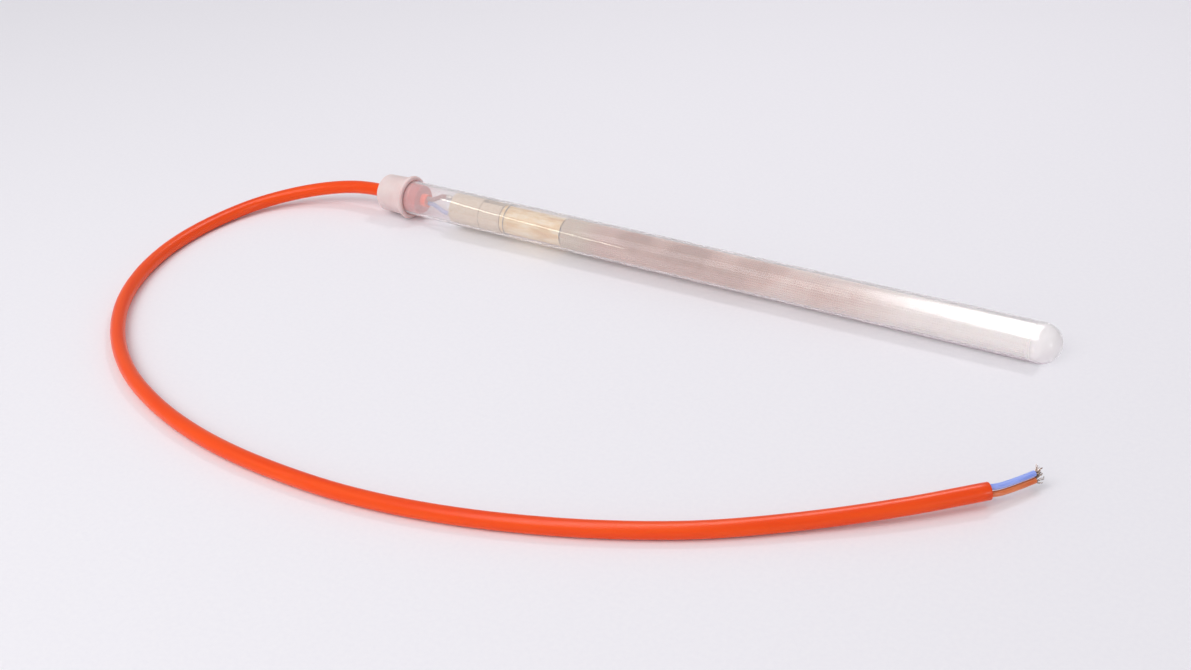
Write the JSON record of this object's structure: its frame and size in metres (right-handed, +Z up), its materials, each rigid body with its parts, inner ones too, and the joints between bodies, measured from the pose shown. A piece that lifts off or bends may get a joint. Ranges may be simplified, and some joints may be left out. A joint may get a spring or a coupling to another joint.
{
  "type": "submersible aquarium heater",
  "caption": "Slim glass-tube immersion heater with a domed end, a soft end cap and an orange two-core cord with bare wire ends.",
  "frame": {"origin": "floor level under the middle of the heater, its cord left out", "axes": "+X along the heater towards its domed end, +Y away from the loop of the cord, +Z up"},
  "size_m": [0.4732, 0.2366, 0.0232],
  "materials": {
    "borosilicate_glass": "clear, drawn and fire polished",
    "silicone_cap": "translucent white, satin, moulded",
    "silicone_bung": "translucent white, moulded",
    "silicone_sheath": "orange-red, extruded, semi-gloss",
    "blue_insulation": "light blue, extruded",
    "brown_insulation": "orange-brown, extruded",
    "tinned_copper": "drawn and tinned",
    "cordierite": "beige, unglazed, extruded",
    "steatite": "off-white, unglazed",
    "polyimide_tape": "amber film, slightly wrinkled",
    "phenolic": "dark brown, moulded",
    "brass": "stamped",
    "bimetal": "rolled strip",
    "silver_contact": "bright",
    "resistance_wire": "drawn, oxidised",
    "glass_fibre": "woven, off-white",
    "mica": "laminated sheet, satin",
    "steel_wire": "drawn, blued"
  },
  "bodies": {
    "heater": {"glass_tube": "borosilicate_glass", "end_cap": "silicone_cap", "sealing_bung": "silicone_bung", "cord_stop_ring": "brass", "sheath_inside": "silicone_sheath", "live_lead": "brown_insulation", "neutral_lead": "blue_insulation", "live_crimp": "tinned_copper", "neutral_crimp": "tinned_copper", "upper_insulator": "cordierite", "lower_insulator": "cordierite", "live_link": "tinned_copper", "tape_wrap": "polyimide_tape", "binding_wire": "steel_wire", "cutout_housing": "phenolic", "cutout_lid": "phenolic", "blade_post": "brass", "fixed_arm": "brass", "fixed_contact": "silver_contact", "mounting_disc": "mica", "coil_former": "steatite", "heating_coil": "resistance_wire", "return_wire": "tinned_copper", "end_splice": "tinned_copper", "fibre_sleeve": "glass_fibre", "end_pad": "glass_fibre", "power_cord": "silicone_sheath", "neutral_core": "blue_insulation", "live_core": "brown_insulation", "neutral_strands": "tinned_copper", "live_strands": "tinned_copper"},
    "blade": {"bimetal_blade": "bimetal", "moving_contact": "silver_contact"}
  },
  "joints": [
    {"name": "cutout_blade_hinge", "type": "hinge", "parent": "heater", "child": "blade", "pos_m": [-0.09739, 0, 0.01158], "axis": [0, -1, 0], "range_deg": [0, 6], "stiffness_Nm_per_rad": 0.01, "springref_deg": -8.59}
  ]
}
